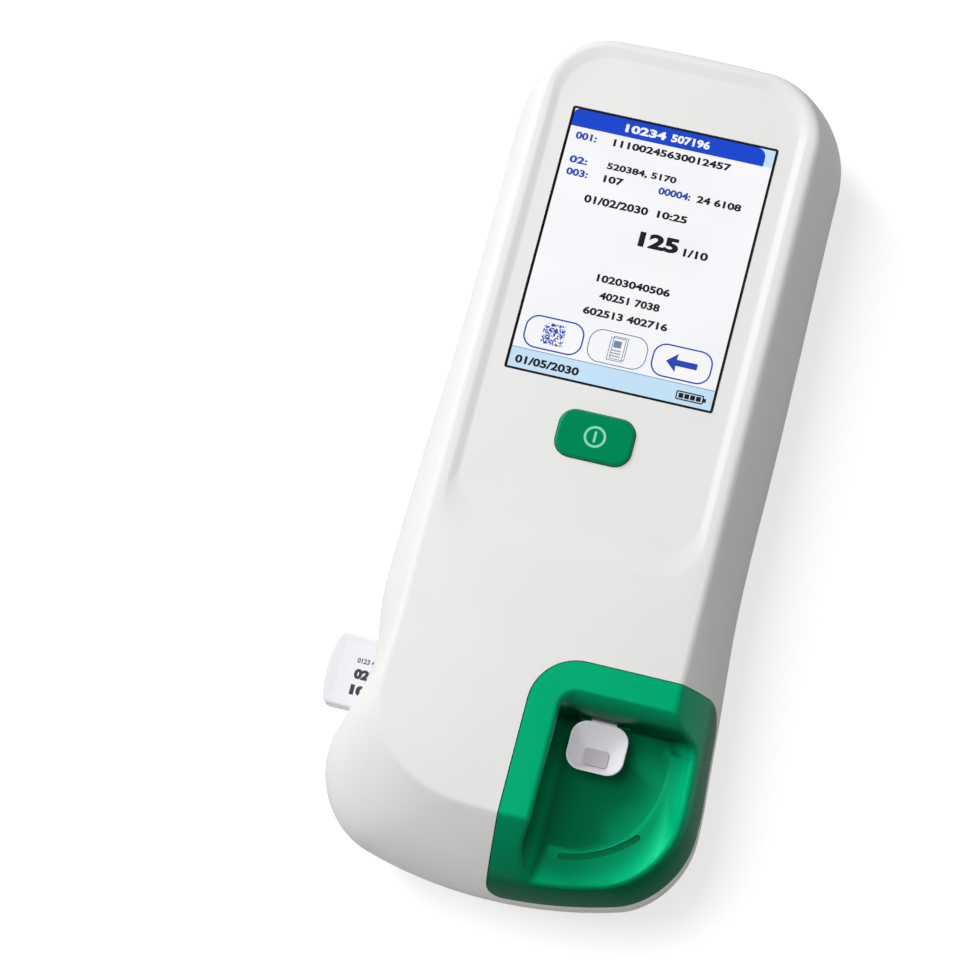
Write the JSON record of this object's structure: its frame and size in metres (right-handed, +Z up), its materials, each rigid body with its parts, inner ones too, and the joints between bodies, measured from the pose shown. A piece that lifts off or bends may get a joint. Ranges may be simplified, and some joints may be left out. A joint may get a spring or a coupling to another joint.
{
  "type": "handheld immunoassay analyzer",
  "caption": "Hand-held blood test reader lying on its back, with a touch display, a power button, a green strip pocket, a plug-in code chip and a removable battery pack.",
  "frame": {"origin": "on the table, under the middle of the housing's length and width", "axes": "+Z up through the display, +Y towards the end above the display, +X towards the strip pocket"},
  "size_m": [0.1113, 0.248, 0.0502],
  "materials": {
    "top_cover": "satin white plastic",
    "bottom_cover": "satin white plastic",
    "application_cover": "green plastic, semi gloss",
    "top_window": "dark infrared window",
    "display_window": "touch panel with printed black border",
    "display_gasket": "foam gasket",
    "lcd_panel": "lit picture",
    "backlight_plate": "light guide",
    "lcd_frame": "thin steel tray",
    "display_cable": "amber flex ribbon",
    "display_connector": "ivory socket",
    "power_button": "green plastic, semi gloss",
    "switch_plunger": "black plunger",
    "switch_dome": "snap dome",
    "power_switch": "tactile switch body",
    "main_board": "green circuit board",
    "processor_shield": "tinned shield can",
    "scanner_engine": "barcode scanner engine",
    "infrared_transceiver": "infrared port",
    "beeper": "black beeper",
    "clock_cell": "coin cell",
    "clock_cell_holder": "black holder",
    "measuring_board": "green circuit board",
    "board_cable": "flat white ribbon with plugs",
    "power_jack": "black socket",
    "charging_contacts": "gilt pads",
    "code_chip": "white plastic",
    "code_chip_label": "paper label",
    "code_chip_contacts": "gilt pads",
    "chip_socket": "black socket",
    "chip_socket_contacts": "gilt springs",
    "strip_guide": "black guide",
    "heater_plate": "milled plate",
    "heater_foil": "amber heater foil",
    "strip_sensor": "black sensor",
    "test_strip": "white strip carrier",
    "sample_pad": "absorbent pad",
    "strip_membrane": "test membrane",
    "optics_housing": "black housing",
    "optics_mirror": "small mirror",
    "optics_lens": "lens",
    "image_sensor_board": "green circuit board",
    "image_sensor": "image sensor",
    "illumination_leds": "small lamps",
    "battery_case": "satin white plastic",
    "battery_lid": "black lid",
    "battery_cells": "wrapped cells",
    "battery_terminals": "gilt blades",
    "battery_connector": "black connector",
    "bay_contacts": "gilt springs",
    "housing_screws": "zinc plated",
    "board_screws": "zinc plated",
    "guide_screws": "zinc plated",
    "rubber_feet": "grey rubber"
  },
  "bodies": {
    "housing": {"top_cover": "top_cover", "bottom_cover": "bottom_cover", "application_cover": "application_cover", "top_window": "top_window", "display_window": "display_window", "display_gasket": "display_gasket", "lcd_panel": "lcd_panel", "backlight_plate": "backlight_plate", "lcd_frame": "lcd_frame", "display_cable": "display_cable", "display_connector": "display_connector", "switch_dome": "switch_dome", "power_switch": "power_switch", "main_board": "main_board", "processor_shield": "processor_shield", "scanner_engine": "scanner_engine", "infrared_transceiver": "infrared_transceiver", "beeper": "beeper", "clock_cell": "clock_cell", "clock_cell_holder": "clock_cell_holder", "measuring_board": "measuring_board", "board_cable": "board_cable", "power_jack": "power_jack", "charging_contacts": "charging_contacts", "chip_socket": "chip_socket", "chip_socket_contacts": "chip_socket_contacts", "strip_guide": "strip_guide", "heater_plate": "heater_plate", "heater_foil": "heater_foil", "strip_sensor": "strip_sensor", "optics_housing": "optics_housing", "optics_mirror": "optics_mirror", "optics_lens": "optics_lens", "image_sensor_board": "image_sensor_board", "image_sensor": "image_sensor", "illumination_leds": "illumination_leds", "battery_connector": "battery_connector", "bay_contacts": "bay_contacts", "housing_screws": "housing_screws", "board_screws": "board_screws", "guide_screws": "guide_screws", "rubber_feet": "rubber_feet"},
    "button": {"power_button": "power_button", "switch_plunger": "switch_plunger"},
    "chip": {"code_chip": "code_chip", "code_chip_label": "code_chip_label", "code_chip_contacts": "code_chip_contacts"},
    "strip": {"test_strip": "test_strip", "sample_pad": "sample_pad", "strip_membrane": "strip_membrane"},
    "battery_pack": {"battery_case": "battery_case", "battery_lid": "battery_lid", "battery_cells": "battery_cells", "battery_terminals": "battery_terminals"}
  },
  "joints": [
    {"name": "power_button_press", "type": "slide", "parent": "housing", "child": "button", "axis": [0, 0, -1], "range_m": [0, 0.0007], "stiffness_N_per_m": 2500, "springref_m": -0.0003, "deforming": ["switch_dome"]},
    {"name": "code_chip_pull", "type": "slide", "parent": "housing", "child": "chip", "axis": [-1, 0, 0], "range_m": [0, 0.034]},
    {"name": "test_strip_pull", "type": "slide", "parent": "housing", "child": "strip", "axis": [0, -1, 0], "range_m": [0, 0.072]},
    {"name": "battery_pack_removal", "type": "slide", "parent": "housing", "child": "battery_pack", "axis": [0, 0, -1], "range_m": [0, 0.024]}
  ]
}
